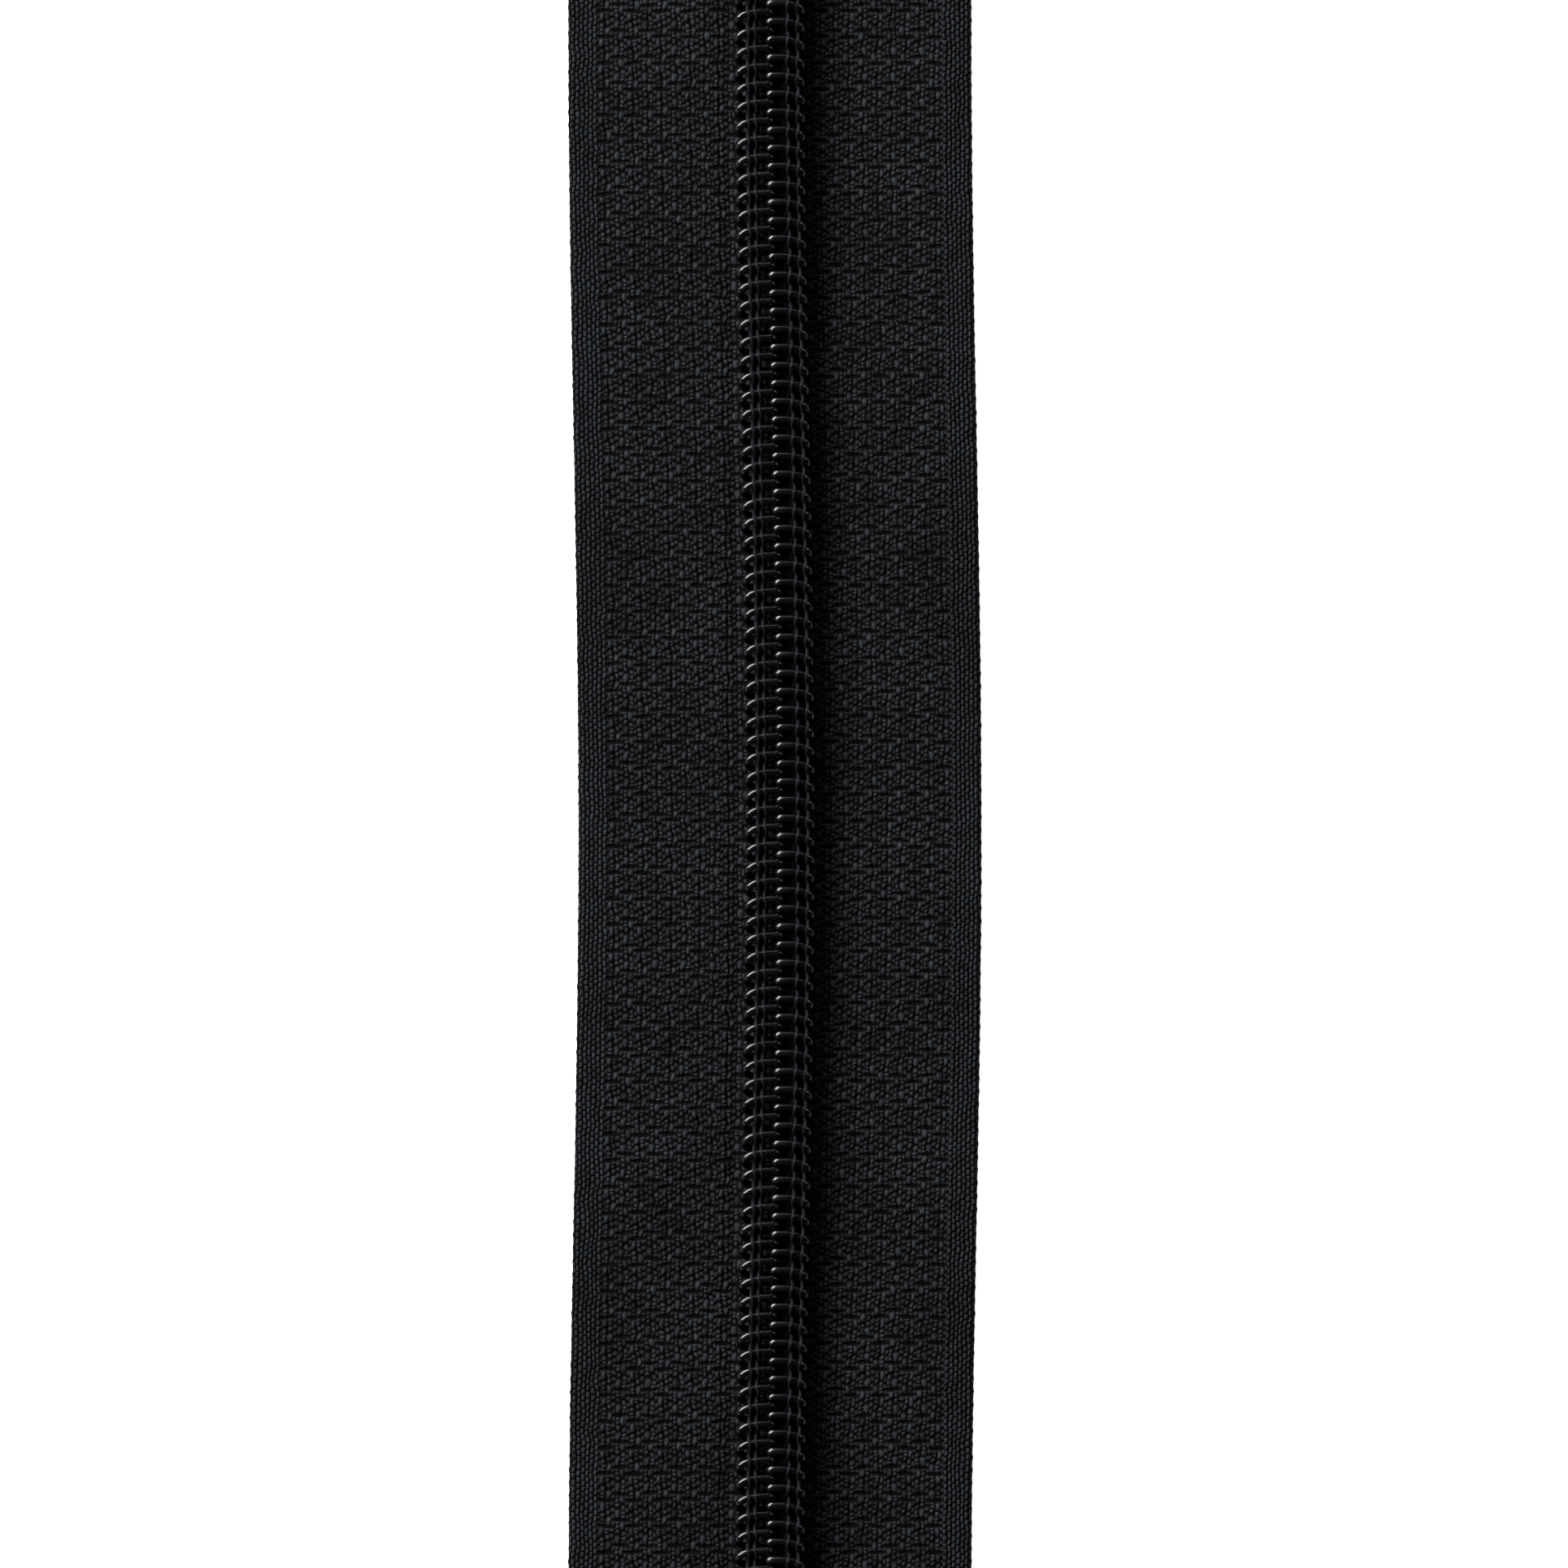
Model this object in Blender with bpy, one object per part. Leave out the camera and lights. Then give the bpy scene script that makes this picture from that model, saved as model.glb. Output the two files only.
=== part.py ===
"""Closed-end coil zipper: two woven tapes, two sewn nylon coils, stops and an auto-lock slider.

The zipper lies flat and closed, with its slider against the top stops. X runs across the tapes, Y runs
along the chain towards its top end, and Z is up from the surface that the slider's lower plate rests on.
Lengths are metres. The chain is straight up to the middle of the slider, where the slider's wedge
parts the two sides, and every chain piece follows that spread.
"""

import math

import bmesh
import bpy
from mathutils import Vector

MM = 0.001

# Chain: each side is measured outwards from the centre line.
PITCH = 1.435 * MM
WIRE = 0.62 * MM
HEAD_REACH = 0.42 * MM
COIL_REACH = 2.90 * MM
LEG_REACH = 2.20 * MM
COIL_BOTTOM = 1.85 * MM
COIL_TOP = 3.75 * MM
COIL_LOW_Y = -72.0 * MM
COIL_HIGH_Y = 82.0 * MM

# Tapes
TAPE_INNER = 0.35 * MM
TAPE_MARGIN = 7.0 * MM
TAPE_OUTER = 16.0 * MM
TAPE_BOTTOM = 1.20 * MM
TAPE_TOP = 1.80 * MM
MARGIN_STEP = 0.03 * MM
TAPE_END_Y = 98.0 * MM

# Filler cord and sewing threads
CORD_INNER, CORD_OUTER = 0.75 * MM, 1.90 * MM
CORD_BOTTOM, CORD_TOP = 2.55 * MM, 3.05 * MM
STITCH_ROWS = {"inner": 1.30 * MM, "outer": 2.00 * MM}
THREAD_WIDTH = 0.30 * MM
NEEDLE_BOTTOM, NEEDLE_TOP = 3.80 * MM, 3.95 * MM
LOOPER_BOTTOM, LOOPER_TOP = 0.97 * MM, 1.14 * MM

# Slider at rest: its rear faces the bottom stop, its mouth the top stops.
SLIDER_REAR_Y = 67.0 * MM
SLIDER_LENGTH = 11.5 * MM
SLIDER_TRAVEL = 135.0 * MM
PLATE = 0.90 * MM
CHANNEL_TOP = 4.05 * MM
BODY_TOP = 5.05 * MM
CHANNEL_HALF = 3.05 * MM
FLANGE = 0.75 * MM
SLOT_BOTTOM, SLOT_TOP = 1.10 * MM, 1.92 * MM
SLOT_INNER = 2.0 * MM
WEDGE_START = 7.4 * MM
WEDGE_CLEARANCE = 0.13 * MM
REAR_LUG = (0.85 * MM, 1.70 * MM, 6.20 * MM)
FRONT_LUG = (8.80 * MM, 9.80 * MM, 6.40 * MM)
LUG_HALF = 0.90 * MM
WINDOW = (2.20 * MM, 3.60 * MM)
WINDOW_HALF = 0.60 * MM

# Slider crown, a bent strip that holds the pull and the spring down
CROWN_HALF = 1.30 * MM
CROWN_REAR, CROWN_FRONT = 0.25 * MM, 10.45 * MM
CROWN_FOOT, CROWN_TOP = 5.13 * MM, 7.95 * MM
CROWN_THICK = 0.45 * MM
CROWN_RADIUS = 1.60 * MM

# Pull tab, measured from its hinge
PULL_HINGE = Vector((0.0, 5.35 * MM, 5.85 * MM))
PULL_BAR_RADIUS = 0.55 * MM
EYE_HALF = 1.60 * MM
EYE_LENGTH = 5.50 * MM
PULL_NECK_HALF = 2.60 * MM
PULL_HALF = 3.30 * MM
PULL_LENGTH = 24.0 * MM
PULL_HOLE_RADIUS = 1.50 * MM
PULL_HOLE_AT = 20.2 * MM

# Locking spring, a leaf that turns on the front lug and ends in a pawl
SPRING_HINGE = Vector((0.0, 9.30 * MM, 6.62 * MM))
SPRING_HALF = 0.40 * MM
SPRING_BOTTOM, SPRING_TOP = 6.50 * MM, 6.74 * MM
SPRING_FRONT = 9.75 * MM
PAWL_REAR, PAWL_FRONT = 2.55 * MM, 2.95 * MM
PAWL_TIP = 3.99 * MM

# Opening: each side of the chain turns outwards about its tape's outer edge, just above the bottom stop.
OPEN_ANGLE = math.radians(12.0)
PIVOT_Y = -66.5 * MM
CUT_GAP = 0.10 * MM
SPREAD_FROM_Y = SLIDER_REAR_Y + 4.0 * MM
SPREAD_EASE_Y = 82.5 * MM
SPREAD_EASE = 5.0 * MM

# Stops
STOP_THICK = 0.35 * MM
TOP_STOP_Y = (79.5 * MM, 83.0 * MM)
STOP_INSIDE_TOP = 4.00 * MM
STOP_INSIDE_BOTTOM = 0.92 * MM
STOP_WEB = -0.55 * MM
STOP_REACH = 3.15 * MM
BOTTOM_STOP_Y = (-72.4 * MM, -68.5 * MM)
BOTTOM_STOP_HALF = 3.45 * MM
BOTTOM_STOP_THICK = 0.40 * MM
PRONG_END = 0.90 * MM
PRONG_CLEARANCE = 0.08 * MM

ARC_STEPS = 6
ROUND_SIDES = 24
SIDES = {"left": -1.0, "right": 1.0}

COLOURS = {
    "tape_fabric": ((0.012, 0.012, 0.014), 0.85, 0.0),
    "nylon_coil": ((0.006, 0.006, 0.008), 0.22, 0.0),
    "filler_cord": ((0.014, 0.014, 0.017), 0.90, 0.0),
    "sewing_thread": ((0.020, 0.021, 0.026), 0.70, 0.0),
    "slider_enamel": ((0.010, 0.010, 0.011), 0.30, 0.2),
    "spring_steel": ((0.35, 0.35, 0.36), 0.30, 1.0),
    "stop_metal": ((0.020, 0.020, 0.022), 0.35, 0.6),
}


def clear_scene():
    for obj in list(bpy.data.objects):
        bpy.data.objects.remove(obj)


def material(name):
    """A plain Principled material with the part's colour."""
    found = bpy.data.materials.get(name)
    if found:
        return found
    colour, roughness, metallic = COLOURS[name]
    made = bpy.data.materials.new(name)
    made.use_nodes = True
    shader = made.node_tree.nodes["Principled BSDF"]
    shader.inputs["Base Color"].default_value = (*colour, 1.0)
    shader.inputs["Roughness"].default_value = roughness
    shader.inputs["Metallic"].default_value = metallic
    return made


def empty(name, location):
    obj = bpy.data.objects.new(name, None)
    obj.location = location
    bpy.context.scene.collection.objects.link(obj)
    return obj


def add_object(name, shape, slot, parent=None, location=(0, 0, 0)):
    """Turns a bmesh into a named object whose faces point outwards."""
    bmesh.ops.recalc_face_normals(shape, faces=shape.faces)
    if shape.calc_volume(signed=True) < 0:
        bmesh.ops.reverse_faces(shape, faces=shape.faces)
    mesh = bpy.data.meshes.new(name)
    shape.to_mesh(mesh)
    shape.free()
    mesh.materials.append(material(slot))
    mesh.shade_smooth()
    mesh.set_sharp_from_angle(angle=math.radians(30.0))
    obj = bpy.data.objects.new(name, mesh)
    bpy.context.scene.collection.objects.link(obj)
    obj.parent = parent
    obj.location = location
    return obj


def in_place(parent):
    """The location that leaves a child's mesh in world coordinates under a parent."""
    return -parent.location


def helper(name, shape, parent, location=(0, 0, 0)):
    """A shape that only a Boolean reads."""
    obj = add_object(name, shape, "slider_enamel", parent, location)
    obj.hide_render = True
    obj.display_type = "WIRE"
    return obj


def boolean(obj, other, operation):
    modifier = obj.modifiers.new(other.name, "BOOLEAN")
    modifier.operation = operation
    modifier.solver = "EXACT"
    modifier.object = other


def loft(rings):
    """A closed solid through rings of points, each ring a closed loop of the same count."""
    shape = bmesh.new()
    rows = [[shape.verts.new(point) for point in ring] for ring in rings]
    count = len(rows[0])
    for low, high in zip(rows, rows[1:]):
        for k in range(count):
            after = (k + 1) % count
            shape.faces.new((low[k], low[after], high[after], high[k]))
    shape.faces.new(rows[0])
    shape.faces.new(rows[-1])
    return shape


def prism(outline, low, high):
    """A flat outline in X and Y, extruded from one height to another."""
    return loft([[(x, y, z) for x, y in outline] for z in (low, high)])


def box(x, y, z):
    return prism([(x[0], y[0]), (x[1], y[0]), (x[1], y[1]), (x[0], y[1])], *z)


def across(outline, half):
    """A flat outline in Y and Z, extruded to both sides of the centre line."""
    return loft([[(x, y, z) for y, z in outline] for x in (-half, half)])


def rod(radius, half, sides=ROUND_SIDES):
    """A round bar along X, centred on the origin."""
    turn = 2 * math.pi / sides
    circle = [(radius * math.cos(k * turn), radius * math.sin(k * turn)) for k in range(sides)]
    return across(circle, half)


def rounded(corners):
    """A closed outline through (a, b, radius) corners, each rounded by an arc of that radius."""
    points = []
    for k, (a, b, radius) in enumerate(corners):
        corner = Vector((a, b))
        if radius == 0:
            points.append(tuple(corner))
            continue
        back = (Vector(corners[k - 1][:2]) - corner).normalized()
        ahead = (Vector(corners[(k + 1) % len(corners)][:2]) - corner).normalized()
        half_angle = back.angle(ahead) / 2
        centre = corner + (back + ahead).normalized() * radius / math.sin(half_angle)
        start = corner + back * radius / math.tan(half_angle) - centre
        end = corner + ahead * radius / math.tan(half_angle) - centre
        sweep = math.atan2(start.x * end.y - start.y * end.x, start.dot(end))
        for step in range(ARC_STEPS + 1):
            angle = sweep * step / ARC_STEPS
            x = start.x * math.cos(angle) - start.y * math.sin(angle)
            y = start.x * math.sin(angle) + start.y * math.cos(angle)
            points.append((centre.x + x, centre.y + y))
    return points


def spread(y):
    """How far each side stands out from its closed place: the slider's wedge parts the sides."""
    slope = math.tan(OPEN_ANGLE)
    straight = slope * (min(y, SPREAD_EASE_Y) - SPREAD_FROM_Y)
    eased = slope * SPREAD_EASE * (1 - math.exp(-max(0.0, y - SPREAD_EASE_Y) / SPREAD_EASE))
    return max(0.0, straight) + eased


def to_side(shape, side):
    """Moves a shape made on the closed right side to its own side, following the spread."""
    for vert in shape.verts:
        vert.co.x = side * (vert.co.x + spread(vert.co.y))
    return shape


def stations(low, high):
    """Places along Y where a long chain piece has a section: few where straight, close where it bends."""
    straight_step, bend_step = 16.0 * MM, 2.0 * MM
    places = [low]
    while places[-1] < high:
        step = straight_step if places[-1] + straight_step <= SPREAD_FROM_Y else bend_step
        if SPREAD_FROM_Y - straight_step < places[-1] < SPREAD_FROM_Y:
            step = SPREAD_FROM_Y - places[-1]
        places.append(min(high, places[-1] + step))
    return places


def strip(inner, outer, bottom, top, low, high):
    """A long flat bar along Y with a rectangular section."""
    section = [(inner, bottom), (outer, bottom), (outer, top), (inner, top)]
    return loft([[(x, y, z) for x, z in section] for y in stations(low, high)])


def tape_solid(low, high):
    """A tape whose sewing margin, clear of the coil and the slider, is a little thicker than its inner part."""
    section = [
        (TAPE_INNER, TAPE_BOTTOM),
        (TAPE_MARGIN, TAPE_BOTTOM),
        (TAPE_MARGIN, TAPE_BOTTOM - MARGIN_STEP),
        (TAPE_OUTER, TAPE_BOTTOM - MARGIN_STEP),
        (TAPE_OUTER, TAPE_TOP + MARGIN_STEP),
        (TAPE_MARGIN, TAPE_TOP + MARGIN_STEP),
        (TAPE_MARGIN, TAPE_TOP),
        (TAPE_INNER, TAPE_TOP),
    ]
    return loft([[(x, y, z) for x, z in section] for y in stations(low, high)])


def coil_path(first_y, turns):
    """The coil's centre line: up the head, out along the upper leg, round the outer loop one pitch
    lower, and back along the lower leg to the next head."""
    head = -HEAD_REACH + WIRE / 2
    loop = COIL_REACH - WIRE / 2
    low = COIL_BOTTOM + WIRE / 2
    high = COIL_TOP - WIRE / 2
    path = []
    for turn in range(turns):
        y = first_y - turn * PITCH
        path += [(head, y, low), (head, y, high), (LEG_REACH, y, high)]
        path += [(loop, y - PITCH / 2, (low + high) / 2), (LEG_REACH, y - PITCH, low)]
    return path[:-2]


def coil_solid(first_y, turns):
    """A square wire swept along the coil's path, its section kept upright in Y and mitred in X and Z."""
    path = coil_path(first_y, turns)
    normals = []
    for a, b in zip(path, path[1:]):
        run = Vector((b[0] - a[0], b[2] - a[2])).normalized()
        normals.append(Vector((run.y, -run.x)))
    rings = []
    for k, (x, y, z) in enumerate(path):
        before, after = normals[max(0, k - 1)], normals[min(k, len(normals) - 1)]
        mitre = (before + after) / (1 + before.dot(after)) * WIRE / 2
        corners = [(-1, -1), (1, -1), (1, 1), (-1, 1)]
        rings.append([(x + mitre.x * a, y + b * WIRE / 2, z + mitre.y * a) for a, b in corners])
    return loft(rings)


def make_stringer(name, side):
    """One side of the chain: tape, coil, filler cord, four sewing threads and a top stop."""
    pivot = empty(f"stringer_{name}", (side * TAPE_OUTER, PIVOT_Y, 0))

    def add(part, shape, slot):
        add_object(f"{part}_{name}", to_side(shape, side), slot, pivot, in_place(pivot))

    add("tape", tape_solid(PIVOT_Y + CUT_GAP / 2, TAPE_END_Y), "tape_fabric")
    turns = int((COIL_HIGH_Y - COIL_LOW_Y) / PITCH)
    shift = PITCH / 2 if side < 0 else 0.0
    add("coil", coil_solid(COIL_HIGH_Y - shift, turns), "nylon_coil")
    add(
        "filler_cord",
        strip(CORD_INNER, CORD_OUTER, CORD_BOTTOM, CORD_TOP, COIL_LOW_Y, COIL_HIGH_Y),
        "filler_cord",
    )
    for row, x in STITCH_ROWS.items():
        inner, outer = x - THREAD_WIDTH / 2, x + THREAD_WIDTH / 2
        needle = strip(inner, outer, NEEDLE_BOTTOM, NEEDLE_TOP, COIL_LOW_Y, COIL_HIGH_Y)
        add(f"needle_thread_{row}", needle, "sewing_thread")
        looper = strip(inner, outer, LOOPER_BOTTOM, LOOPER_TOP, COIL_LOW_Y, COIL_HIGH_Y)
        add(f"looper_thread_{row}", looper, "sewing_thread")
    add("top_stop", top_stop_solid(), "stop_metal")


def top_stop_solid():
    """A U-shaped clip closed round the coil and the tape's inner edge."""
    top, bottom = STOP_INSIDE_TOP, STOP_INSIDE_BOTTOM
    section = [
        (STOP_REACH, top),
        (STOP_REACH, top + STOP_THICK),
        (STOP_WEB - STOP_THICK, top + STOP_THICK),
        (STOP_WEB - STOP_THICK, bottom - STOP_THICK),
        (STOP_REACH, bottom - STOP_THICK),
        (STOP_REACH, bottom),
        (STOP_WEB, bottom),
        (STOP_WEB, top),
    ]
    return loft([[(x, y, z) for x, z in section] for y in TOP_STOP_Y])


def make_bottom_end():
    """The fixed end of the chain: the tape tails and the clip that holds both coils together."""
    half, thick = BOTTOM_STOP_HALF, BOTTOM_STOP_THICK
    inside = half - thick
    top, bottom = STOP_INSIDE_TOP, STOP_INSIDE_BOTTOM
    section = [
        (-PRONG_END, bottom - thick),
        (-half, bottom - thick),
        (-half, top + thick),
        (half, top + thick),
        (half, bottom - thick),
        (PRONG_END, bottom - thick),
        (PRONG_END, bottom),
        (inside, bottom),
        (inside, top),
        (-inside, top),
        (-inside, bottom),
        (-PRONG_END, bottom),
    ]
    clip = loft([[(x, y, z) for x, z in section] for y in BOTTOM_STOP_Y])
    add_object("bottom_stop", clip, "stop_metal")
    for name, side in SIDES.items():
        tail = to_side(tape_solid(-TAPE_END_Y, PIVOT_Y - CUT_GAP / 2), side)
        tail = add_object(f"tape_tail_{name}", tail, "tape_fabric")
        gap = PRONG_CLEARANCE
        across_leg = sorted((side * (inside - gap), side * (half + gap)))
        along_leg = (BOTTOM_STOP_Y[0] - gap, BOTTOM_STOP_Y[1] + gap)
        through = (TAPE_BOTTOM - MM, TAPE_TOP + MM)
        slit = helper(f"prong_slit_{name}", box(across_leg, along_leg, through), None)
        boolean(tail, slit, "DIFFERENCE")


def plate_outline():
    """The outline that both slider plates share, in the slider's own frame."""
    rear = CHANNEL_HALF + FLANGE
    bend = SPREAD_FROM_Y - SLIDER_REAR_Y
    mouth = rear + math.tan(OPEN_ANGLE) * (SLIDER_LENGTH - bend)
    right = [(rear, 0.0, 1.0 * MM), (rear, bend, 0.0), (mouth, SLIDER_LENGTH, 1.8 * MM)]
    left = [(-x, y, radius) for x, y, radius in reversed(right)]
    return rounded(right + left)


def channel_outline():
    """The Y-shaped way through the slider: one channel at the rear, two round the wedge at the mouth."""
    beyond = 1.0 * MM
    bend = SPREAD_FROM_Y - SLIDER_REAR_Y
    slope = math.tan(OPEN_ANGLE)
    end = SLIDER_LENGTH + beyond
    wedge_end = slope * (end - bend) - HEAD_REACH - WEDGE_CLEARANCE
    wedge_tip = slope * (WEDGE_START - bend) - HEAD_REACH - WEDGE_CLEARANCE
    right = [
        (CHANNEL_HALF, -beyond),
        (CHANNEL_HALF, bend),
        (CHANNEL_HALF + slope * (end - bend), end),
        (wedge_end, end),
        (wedge_tip, WEDGE_START),
    ]
    return right + [(-x, y) for x, y in reversed(right)]


def make_slider():
    """The carriage that opens and closes the chain, with its crown, pull tab and locking spring."""
    slider = empty("slider", (0, SLIDER_REAR_Y, 0))
    body = prism(plate_outline(), 0.0, BODY_TOP)
    body = add_object("slider_body", body, "slider_enamel", slider)
    beyond = 1.0 * MM
    far = 8.0 * MM
    along = (-beyond, SLIDER_LENGTH + beyond)
    cutters = {
        "chain_channel": prism(channel_outline(), PLATE, CHANNEL_TOP),
        "tape_slot_left": box((-far, -SLOT_INNER), along, (SLOT_BOTTOM, SLOT_TOP)),
        "tape_slot_right": box((SLOT_INNER, far), along, (SLOT_BOTTOM, SLOT_TOP)),
        "pawl_window": box((-WINDOW_HALF, WINDOW_HALF), WINDOW, (CHANNEL_TOP - beyond, BODY_TOP + beyond)),
    }
    for name, shape in cutters.items():
        boolean(body, helper(name, shape, slider), "DIFFERENCE")
    for name, (rear, front, top) in {"rear_lug": REAR_LUG, "front_lug": FRONT_LUG}.items():
        lug = box((-LUG_HALF, LUG_HALF), (rear, front), (BODY_TOP - PLATE / 2, top))
        boolean(body, helper(name, lug, slider), "UNION")
    add_object("slider_crown", crown_solid(), "slider_enamel", slider)
    add_object("locking_spring", spring_solid(), "spring_steel", slider, SPRING_HINGE)
    make_pull(slider)


def crown_solid():
    """A strip bent over the lugs: its outline is one arch inside another."""
    rear, front, foot, top = CROWN_REAR, CROWN_FRONT, CROWN_FOOT, CROWN_TOP
    thick, radius = CROWN_THICK, CROWN_RADIUS
    outer = [(rear, foot, 0), (rear, top, radius), (front, top, radius), (front, foot, 0)]
    bend = radius - thick
    inner = [
        (front - thick, foot, 0),
        (front - thick, top - thick, bend),
        (rear + thick, top - thick, bend),
        (rear + thick, foot, 0),
    ]
    return across(rounded(outer + inner), CROWN_HALF)


def spring_solid():
    """A leaf over the pull's bar, turned down at its rear into a pawl that drops through the window."""
    outline = [
        (SPRING_FRONT, SPRING_BOTTOM),
        (SPRING_FRONT, SPRING_TOP),
        (PAWL_REAR, SPRING_TOP),
        (PAWL_REAR, PAWL_TIP),
        (PAWL_FRONT, PAWL_TIP),
        (PAWL_FRONT, SPRING_BOTTOM),
    ]
    return across([(y - SPRING_HINGE.y, z - SPRING_HINGE.z) for y, z in outline], SPRING_HALF)


def make_pull(slider):
    """A flat tab with an eye round the crown and a round bar that turns under it."""
    neck, half, length = PULL_NECK_HALF, PULL_HALF, PULL_LENGTH
    shoulder = EYE_LENGTH + 3.0 * MM
    right = [
        (neck, 0.0, 0.0),
        (neck, EYE_LENGTH, 2.0 * MM),
        (half, shoulder, 2.0 * MM),
        (half * 0.88, length, 2.2 * MM),
    ]
    left = [(-x, y, radius) for x, y, radius in reversed(right)]
    thick = PULL_BAR_RADIUS
    tab = prism(rounded(right + left), -thick, thick)
    tab = add_object("pull_tab", tab, "slider_enamel", slider, PULL_HINGE)
    through = (-2 * thick, 2 * thick)
    eye = box((-EYE_HALF, EYE_HALF), (-1.0 * MM, EYE_LENGTH), through)
    turn = 2 * math.pi / ROUND_SIDES
    circle = [
        (PULL_HOLE_RADIUS * math.cos(k * turn), PULL_HOLE_AT + PULL_HOLE_RADIUS * math.sin(k * turn))
        for k in range(ROUND_SIDES)
    ]
    for name, shape in {"pull_eye": eye, "pull_hole": prism(circle, *through)}.items():
        boolean(tab, helper(name, shape, slider, PULL_HINGE), "DIFFERENCE")
    boolean(tab, helper("pull_bar", rod(thick, neck), slider, PULL_HINGE), "UNION")


def main():
    clear_scene()
    for name, side in SIDES.items():
        make_stringer(name, side)
    make_bottom_end()
    make_slider()


main()
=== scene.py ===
"""Looks of the closed coil zipper: woven tapes, sewn nylon coils, threads, stops and the slider.

Each side of the chain is described once, outwards from the centre line, and placed on its own side.
Lengths are metres, and Y runs along the chain towards its top end, as in the CAD frame.
"""

import math

import bmesh
import bpy
import numpy as np
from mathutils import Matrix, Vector, noise


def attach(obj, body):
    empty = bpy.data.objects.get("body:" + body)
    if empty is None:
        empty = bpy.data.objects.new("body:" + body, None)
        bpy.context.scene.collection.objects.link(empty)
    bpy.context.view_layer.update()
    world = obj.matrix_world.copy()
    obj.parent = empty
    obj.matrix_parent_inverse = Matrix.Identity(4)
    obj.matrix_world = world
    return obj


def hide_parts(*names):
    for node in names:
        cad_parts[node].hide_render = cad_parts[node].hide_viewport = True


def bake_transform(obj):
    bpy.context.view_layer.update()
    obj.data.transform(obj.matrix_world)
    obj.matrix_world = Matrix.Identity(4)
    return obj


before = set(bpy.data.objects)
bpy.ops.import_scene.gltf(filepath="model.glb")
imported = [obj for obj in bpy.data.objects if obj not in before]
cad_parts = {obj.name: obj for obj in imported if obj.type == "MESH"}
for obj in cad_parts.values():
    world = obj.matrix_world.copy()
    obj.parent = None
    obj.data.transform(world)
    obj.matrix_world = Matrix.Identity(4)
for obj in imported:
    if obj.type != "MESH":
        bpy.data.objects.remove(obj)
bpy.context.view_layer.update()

MM = 0.001
SIDES = {"left": -1.0, "right": 1.0}

# Chain, as in the CAD
PITCH = 1.435 * MM
WIRE_RADIUS = 0.31 * MM
HEAD_REACH = 0.42 * MM
COIL_REACH = 2.90 * MM
COIL_BOTTOM, COIL_TOP = 1.85 * MM, 3.75 * MM
COIL_LOW_Y, COIL_HIGH_Y = -72.0 * MM, 82.0 * MM
TAPE_INNER, TAPE_OUTER = 0.35 * MM, 16.0 * MM
TAPE_END_Y = 98.0 * MM

# The slider parts the two sides from here to the top end.
OPEN_ANGLE = math.radians(12.0)
SPREAD_FROM_Y, SPREAD_EASE_Y, SPREAD_EASE = 71.0 * MM, 82.5 * MM, 5.0 * MM

# The closed chain lies in a slight bow.
BOW = 0.80 * MM
BOW_CENTRE_Y, BOW_HALF = -3.5 * MM, 64.0 * MM

# Weave: one repeat is four ends by four picks.
REPEAT_X, REPEAT_Y = 2.272 * MM, 2.075 * MM
PICK = REPEAT_Y / 4
SELVAGE_X = 13.7 * MM
SELVAGE_END = 0.35 * MM
TAPE_TOP_MEAN, TAPE_BOTTOM_MEAN = 1.73 * MM, 1.27 * MM
# Depth of the weave on the front, its share on the back, and the height that stays on the mean
RELIEF, BACK_SHARE, MEAN_HEIGHT = 0.20 * MM, 0.7, 0.45
# How far the yarns wander across and along, and over what lengths the wandering changes
WANDER = (0.12 * MM, 0.13 * MM)
WANDER_LENGTHS = (1.5 * MM, 1.3 * MM)
# Blender's vector noise starts from the clock unless it is given a seed.
WANDER_SEED = 5
RIPPLE = 0.05 * MM
# The hollow that the stitches pull into the tape beside the coil
VALLEY_X, VALLEY_HALF, VALLEY_DEPTH = 3.3 * MM, 0.5 * MM, 0.10 * MM
# The outer edge: how far its loops stand out, and how much thinner each face is there
SCALLOP, EDGE_THINNING = 0.10 * MM, 0.12 * MM
# The inner edges: half the gap under the closed coils, where they part in the slider, and the tails
CLOSED_EDGE = 0.0006 * MM
EDGE_OPENS_Y, EDGE_OPENS_OVER = 67.5 * MM, 3.0 * MM
TAIL_Y, TAIL_GAP, TAIL_OPENS_OVER = -74.0 * MM, 0.12 * MM, 6.0 * MM

# Sewing
STITCH_ROWS = {
    "left": {"inner": 1.15 * MM, "outer": 1.72 * MM},
    "right": {"inner": 1.42 * MM, "outer": 2.20 * MM},
}
BACK_ROWS = {"inner": 1.30 * MM, "outer": 2.00 * MM}
# Twisted pieces: strands, their distance from the middle, radius, sides, and turns per metre
NEEDLE_TWIST = (5, 0.085 * MM, 0.042 * MM, 5, 230.0)
CORD_TWIST = (3, 0.24 * MM, 0.26 * MM, 7, 260.0)
# The needle threads' highest and lowest places, over a leg of the coil and between two legs
STITCH_OVER, STITCH_UNDER = COIL_TOP + 0.02 * MM, COIL_TOP - 0.75 * MM
# The loops on the back: half width, half overlap, mean height, rise, radius and sides of the thread
LOOP_WIDTH, LOOP_OVERLAP = 0.19 * MM, 0.31 * MM
LOOPER_Z, LOOPER_RISE = 1.07 * MM, 0.055 * MM
LOOPER_RADIUS, LOOPER_SIDES = 0.085 * MM, 6
# The filler cord's middle, the step along it, and how far it is pressed flat
CORD_X, CORD_Z, CORD_STEP, CORD_FLATTENING = 1.32 * MM, 2.80 * MM, 0.25 * MM, 0.62

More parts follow.
